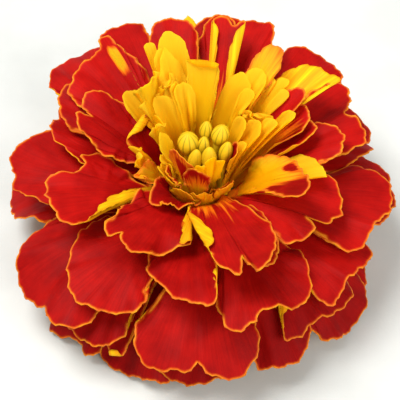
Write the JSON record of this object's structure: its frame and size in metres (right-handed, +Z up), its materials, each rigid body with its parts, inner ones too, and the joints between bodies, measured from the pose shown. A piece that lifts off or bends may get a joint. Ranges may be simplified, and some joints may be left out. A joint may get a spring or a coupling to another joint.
{
  "type": "marigold flower",
  "caption": "Double French marigold head, picked with a short stem stub: gold-edged red ray florets that arch out and droop round a yellow crest and a tight disc of buds.",
  "frame": {"origin": "on the surface that the flower rests on, under the middle of the flower and of its stem stub", "axes": "+Z up along the flower's own axis, out of its face; -Y towards the side that the picture is taken from; +X to the right of that view"},
  "size_m": [0.0664, 0.0634, 0.0339],
  "materials": {
    "red_ray": "velvety red blade with a thin gold margin, yellow underneath",
    "flame_ray": "velvety red blade running to orange and yellow at the claw, gold margin",
    "gold_ray": "satin golden yellow, finely veined",
    "disc_bud": "satin olive yellow with darker grooves",
    "green_bract": "smooth ribbed green with small oil glands",
    "green_bed": "matt pale green",
    "green_stem": "smooth ribbed green with a pale cut end"
  },
  "bodies": {
    "root": {"crest_ray_01": "gold_ray", "crest_ray_02": "gold_ray", "crest_ray_03": "gold_ray", "crest_ray_04": "gold_ray", "crest_ray_05": "gold_ray", "crest_ray_06": "gold_ray", "crest_ray_07": "gold_ray", "disc_floret_01": "disc_bud", "disc_floret_02": "disc_bud", "disc_floret_03": "disc_bud", "disc_floret_04": "disc_bud", "guard_ray_01": "red_ray", "guard_ray_02": "red_ray", "guard_ray_03": "red_ray", "guard_ray_04": "red_ray", "guard_ray_05": "red_ray", "guard_ray_06": "red_ray", "guard_ray_07": "red_ray", "guard_ray_08": "red_ray", "guard_ray_09": "red_ray", "guard_ray_10": "red_ray", "guard_ray_11": "red_ray", "guard_ray_12": "red_ray", "involucre": "green_bract", "middle_ray_01": "red_ray", "middle_ray_02": "red_ray", "middle_ray_03": "red_ray", "middle_ray_04": "red_ray", "middle_ray_05": "red_ray", "middle_ray_06": "red_ray", "middle_ray_07": "red_ray", "middle_ray_08": "red_ray", "middle_ray_09": "red_ray", "middle_ray_10": "red_ray", "middle_ray_11": "red_ray", "middle_ray_12": "red_ray", "middle_ray_13": "red_ray", "middle_ray_14": "red_ray", "middle_ray_15": "red_ray", "middle_ray_16": "red_ray", "receptacle": "green_bed", "skirt_ray_01": "red_ray", "skirt_ray_02": "red_ray", "skirt_ray_03": "red_ray", "skirt_ray_04": "red_ray", "skirt_ray_05": "red_ray", "skirt_ray_06": "red_ray", "skirt_ray_07": "red_ray", "skirt_ray_08": "red_ray", "stem_stub": "green_stem", "upper_ray_01": "flame_ray", "upper_ray_02": "flame_ray", "upper_ray_03": "flame_ray", "upper_ray_04": "flame_ray", "upper_ray_05": "flame_ray", "upper_ray_06": "flame_ray", "upper_ray_07": "flame_ray", "upper_ray_08": "flame_ray", "upper_ray_09": "flame_ray", "upper_ray_10": "flame_ray"}
  },
  "joints": []
}
